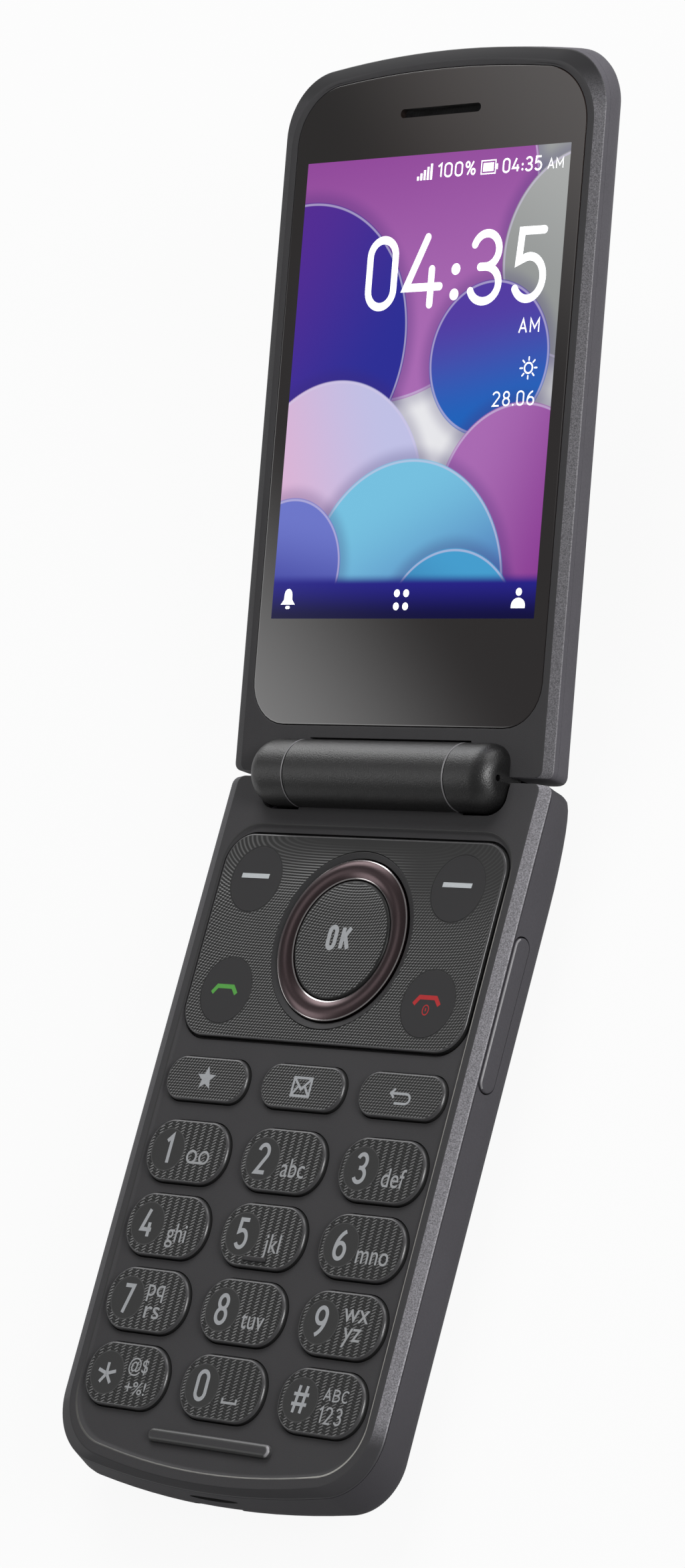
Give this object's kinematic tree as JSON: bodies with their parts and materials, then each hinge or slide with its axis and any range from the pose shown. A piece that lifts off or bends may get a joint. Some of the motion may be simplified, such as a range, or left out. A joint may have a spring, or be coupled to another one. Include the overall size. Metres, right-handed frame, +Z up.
{
  "type": "flip phone",
  "caption": "Clamshell mobile phone lying open: hinged display lid, sprung keypad keys, tilting navigation ring with a centre key, side rocker key and battery cover.",
  "frame": {"origin": "centre of the flat part of the base's back, on which the phone lies", "axes": "+X to the right of the keypad, +Y from the keypad towards the lid, +Z up out of the back"},
  "size_m": [0.0521, 0.1767, 0.0328],
  "materials": {
    "shell": "fine-grained charcoal, soft sheen",
    "cover": "matte charcoal",
    "key": "satin charcoal with a fine woven pattern",
    "ring": "dark rose bronze, polished",
    "lens": "clear acrylic with a black backing, glossy",
    "screen": "lit panel",
    "rubber": "silicone",
    "board": "green circuit board",
    "steel": "plain",
    "cell": "dark wrap",
    "dark": "black"
  },
  "bodies": {
    "base": {"base_front_housing": "shell", "base_rear_housing": "shell", "battery_cover": "cover", "battery": "cell", "main_board": "board", "key_mat": "rubber", "nav_plate": "key", "hinge_cartridge": "steel", "usb_port": "steel", "base_screw_1": "steel", "base_screw_2": "steel", "base_screw_3": "steel", "base_screw_4": "steel", "sim_holder": "steel", "rf_shield": "steel", "loudspeaker": "dark", "vibration_motor": "steel", "microphone": "steel"},
    "lid": {"lid_front_housing": "shell", "lid_rear_housing": "shell", "display_window": "lens", "display_module": "screen", "lid_board": "board", "earpiece_mesh": "dark", "earpiece_speaker": "steel", "outer_window": "lens", "outer_display": "screen", "camera_lens": "lens", "camera_module": "dark", "hinge_shaft": "steel", "hinge_bush": "dark", "lid_magnet": "steel"},
    "key_favourite": {"key_favourite": "key"},
    "key_message": {"key_message": "key"},
    "key_back": {"key_back": "key"},
    "key_1": {"key_1": "key"},
    "key_2": {"key_2": "key"},
    "key_3": {"key_3": "key"},
    "key_4": {"key_4": "key"},
    "key_5": {"key_5": "key"},
    "key_6": {"key_6": "key"},
    "key_7": {"key_7": "key"},
    "key_8": {"key_8": "key"},
    "key_9": {"key_9": "key"},
    "key_asterisk": {"key_asterisk": "key"},
    "key_0": {"key_0": "key"},
    "key_hash": {"key_hash": "key"},
    "key_soft_left": {"key_soft_left": "key"},
    "key_soft_right": {"key_soft_right": "key"},
    "key_call": {"key_call": "key"},
    "key_end": {"key_end": "key"},
    "key_ok": {"key_ok": "key"},
    "nav_actuator": {"nav_actuator": "rubber"},
    "nav_ring": {"nav_ring": "ring"},
    "volume_rocker": {"volume_rocker": "shell"}
  },
  "joints": [
    {"name": "lid_hinge", "type": "hinge", "parent": "base", "child": "lid", "pos_m": [0, 0.044, 0.0105], "axis": [1, 0, 0], "range_deg": [0, 165]},
    {"name": "key_favourite_press", "type": "slide", "parent": "base", "child": "key_favourite", "axis": [0, 0, -1], "range_m": [0, 0.00025], "stiffness_N_per_m": 160, "springref_m": -0.0003},
    {"name": "key_message_press", "type": "slide", "parent": "base", "child": "key_message", "axis": [0, 0, -1], "range_m": [0, 0.00025], "stiffness_N_per_m": 160, "springref_m": -0.0003},
    {"name": "key_back_press", "type": "slide", "parent": "base", "child": "key_back", "axis": [0, 0, -1], "range_m": [0, 0.00025], "stiffness_N_per_m": 160, "springref_m": -0.0003},
    {"name": "key_1_press", "type": "slide", "parent": "base", "child": "key_1", "axis": [0, 0, -1], "range_m": [0, 0.00025], "stiffness_N_per_m": 160, "springref_m": -0.0003},
    {"name": "key_2_press", "type": "slide", "parent": "base", "child": "key_2", "axis": [0, 0, -1], "range_m": [0, 0.00025], "stiffness_N_per_m": 160, "springref_m": -0.0003},
    {"name": "key_3_press", "type": "slide", "parent": "base", "child": "key_3", "axis": [0, 0, -1], "range_m": [0, 0.00025], "stiffness_N_per_m": 160, "springref_m": -0.0003},
    {"name": "key_4_press", "type": "slide", "parent": "base", "child": "key_4", "axis": [0, 0, -1], "range_m": [0, 0.00025], "stiffness_N_per_m": 160, "springref_m": -0.0003},
    {"name": "key_5_press", "type": "slide", "parent": "base", "child": "key_5", "axis": [0, 0, -1], "range_m": [0, 0.00025], "stiffness_N_per_m": 160, "springref_m": -0.0003},
    {"name": "key_6_press", "type": "slide", "parent": "base", "child": "key_6", "axis": [0, 0, -1], "range_m": [0, 0.00025], "stiffness_N_per_m": 160, "springref_m": -0.0003},
    {"name": "key_7_press", "type": "slide", "parent": "base", "child": "key_7", "axis": [0, 0, -1], "range_m": [0, 0.00025], "stiffness_N_per_m": 160, "springref_m": -0.0003},
    {"name": "key_8_press", "type": "slide", "parent": "base", "child": "key_8", "axis": [0, 0, -1], "range_m": [0, 0.00025], "stiffness_N_per_m": 160, "springref_m": -0.0003},
    {"name": "key_9_press", "type": "slide", "parent": "base", "child": "key_9", "axis": [0, 0, -1], "range_m": [0, 0.00025], "stiffness_N_per_m": 160, "springref_m": -0.0003},
    {"name": "key_asterisk_press", "type": "slide", "parent": "base", "child": "key_asterisk", "axis": [0, 0, -1], "range_m": [0, 0.00025], "stiffness_N_per_m": 160, "springref_m": -0.0003},
    {"name": "key_0_press", "type": "slide", "parent": "base", "child": "key_0", "axis": [0, 0, -1], "range_m": [0, 0.00025], "stiffness_N_per_m": 160, "springref_m": -0.0003},
    {"name": "key_hash_press", "type": "slide", "parent": "base", "child": "key_hash", "axis": [0, 0, -1], "range_m": [0, 0.00025], "stiffness_N_per_m": 160, "springref_m": -0.0003},
    {"name": "key_soft_left_press", "type": "slide", "parent": "base", "child": "key_soft_left", "axis": [0, 0, -1], "range_m": [0, 0.00025], "stiffness_N_per_m": 160, "springref_m": -0.0003},
    {"name": "key_soft_right_press", "type": "slide", "parent": "base", "child": "key_soft_right", "axis": [0, 0, -1], "range_m": [0, 0.00025], "stiffness_N_per_m": 160, "springref_m": -0.0003},
    {"name": "key_call_press", "type": "slide", "parent": "base", "child": "key_call", "axis": [0, 0, -1], "range_m": [0, 0.00025], "stiffness_N_per_m": 160, "springref_m": -0.0003},
    {"name": "key_end_press", "type": "slide", "parent": "base", "child": "key_end", "axis": [0, 0, -1], "range_m": [0, 0.00025], "stiffness_N_per_m": 160, "springref_m": -0.0003},
    {"name": "key_ok_press", "type": "slide", "parent": "base", "child": "key_ok", "axis": [0, 0, -1], "range_m": [0, 0.00025], "stiffness_N_per_m": 160, "springref_m": -0.0003},
    {"name": "nav_tilt_length", "type": "hinge", "parent": "base", "child": "nav_actuator", "pos_m": [0, 0.02307, 0.00792], "axis": [1, 0, 0], "range_deg": [-1.2, 1.2], "stiffness_Nm_per_rad": 0.3},
    {"name": "nav_tilt_width", "type": "hinge", "parent": "nav_actuator", "child": "nav_ring", "pos_m": [0, 0.02307, 0.00792], "axis": [0, 1, 0], "range_deg": [-1.2, 1.2], "stiffness_Nm_per_rad": 0.3},
    {"name": "volume_rock", "type": "hinge", "parent": "base", "child": "volume_rocker", "pos_m": [0.02405, 0.0158, 0.00775], "axis": [0, 0, 1], "range_deg": [-1.2, 1.2], "stiffness_Nm_per_rad": 0.2}
  ]
}
